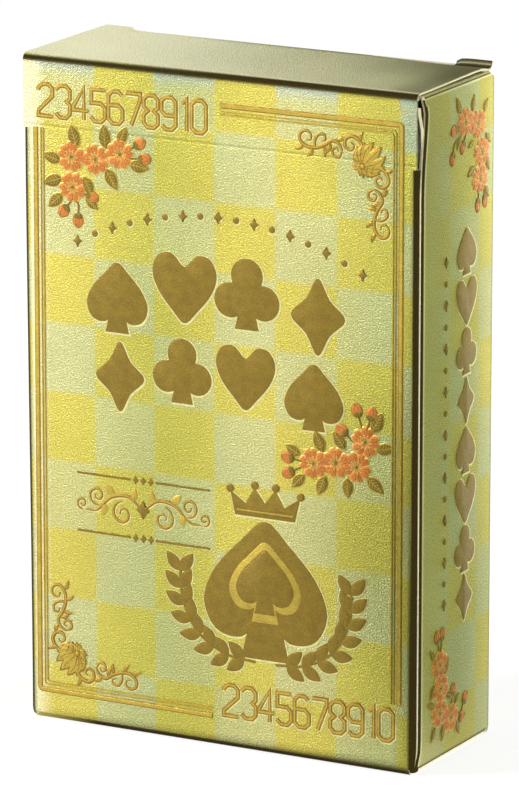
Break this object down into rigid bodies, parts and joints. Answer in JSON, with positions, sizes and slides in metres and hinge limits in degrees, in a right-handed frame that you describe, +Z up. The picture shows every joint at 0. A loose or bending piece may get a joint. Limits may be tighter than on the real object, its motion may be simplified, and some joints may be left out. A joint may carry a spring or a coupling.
{
  "type": "playing card deck",
  "caption": "Deck of bridge-size playing cards in a foil-faced folding carton with a front-hinged flip lid, tuck flap, dust flaps and a thumb notch.",
  "frame": {"origin": "middle of the carton's footprint, on the surface that it stands on", "axes": "+Z up along the carton's height, -Y out of the printed front, +X towards the side with the glued seam"},
  "size_m": [0.06, 0.023, 0.094],
  "materials": {
    "foil_board": "embossed gold-green foil on folding board",
    "card_stock": "coated card stock"
  },
  "bodies": {
    "carton": {"carton": "foil_board"},
    "lid": {"lid": "foil_board"},
    "tuck_flap": {"tuck_flap": "foil_board"},
    "dust_flap_left": {"dust_flap_left": "foil_board"},
    "dust_flap_right": {"dust_flap_right": "foil_board"},
    "deck": {"joker_one": "card_stock", "joker_two": "card_stock", "ace_of_spades": "card_stock", "two_of_spades": "card_stock", "three_of_spades": "card_stock", "four_of_spades": "card_stock", "five_of_spades": "card_stock", "six_of_spades": "card_stock", "seven_of_spades": "card_stock", "eight_of_spades": "card_stock", "nine_of_spades": "card_stock", "ten_of_spades": "card_stock", "jack_of_spades": "card_stock", "queen_of_spades": "card_stock", "king_of_spades": "card_stock", "ace_of_hearts": "card_stock", "two_of_hearts": "card_stock", "three_of_hearts": "card_stock", "four_of_hearts": "card_stock", "five_of_hearts": "card_stock", "six_of_hearts": "card_stock", "seven_of_hearts": "card_stock", "eight_of_hearts": "card_stock", "nine_of_hearts": "card_stock", "ten_of_hearts": "card_stock", "jack_of_hearts": "card_stock", "queen_of_hearts": "card_stock", "king_of_hearts": "card_stock", "ace_of_clubs": "card_stock", "two_of_clubs": "card_stock", "three_of_clubs": "card_stock", "four_of_clubs": "card_stock", "five_of_clubs": "card_stock", "six_of_clubs": "card_stock", "seven_of_clubs": "card_stock", "eight_of_clubs": "card_stock", "nine_of_clubs": "card_stock", "ten_of_clubs": "card_stock", "jack_of_clubs": "card_stock", "queen_of_clubs": "card_stock", "king_of_clubs": "card_stock", "ace_of_diamonds": "card_stock", "two_of_diamonds": "card_stock", "three_of_diamonds": "card_stock", "four_of_diamonds": "card_stock", "five_of_diamonds": "card_stock", "six_of_diamonds": "card_stock", "seven_of_diamonds": "card_stock", "eight_of_diamonds": "card_stock", "nine_of_diamonds": "card_stock", "ten_of_diamonds": "card_stock", "jack_of_diamonds": "card_stock", "queen_of_diamonds": "card_stock", "king_of_diamonds": "card_stock"}
  },
  "joints": [
    {"name": "lid_hinge", "type": "hinge", "parent": "carton", "child": "lid", "pos_m": [0, -0.0115, 0.0842], "axis": [1, 0, 0], "range_deg": [0, 135]},
    {"name": "tuck_flap_hinge", "type": "hinge", "parent": "lid", "child": "tuck_flap", "pos_m": [0, 0.01063, 0.09377], "axis": [1, 0, 0], "range_deg": [0, 21]},
    {"name": "dust_flap_left_hinge", "type": "hinge", "parent": "carton", "child": "dust_flap_left", "pos_m": [-0.02977, 0, 0.09317], "axis": [0, -1, 0], "range_deg": [0, 48]},
    {"name": "dust_flap_right_hinge", "type": "hinge", "parent": "carton", "child": "dust_flap_right", "pos_m": [0.02977, 0, 0.09317], "axis": [0, 1, 0], "range_deg": [0, 48]},
    {"name": "deck_slide", "type": "slide", "parent": "carton", "child": "deck", "axis": [0, 0, 1], "range_m": [0, 0.0027]}
  ],
  "couplings": [
    {"joint": "tuck_flap_hinge", "follows": "lid_hinge", "ratio": 0.15},
    {"joint": "dust_flap_left_hinge", "follows": "lid_hinge", "ratio": 0.35},
    {"joint": "dust_flap_right_hinge", "follows": "lid_hinge", "ratio": 0.35}
  ]
}
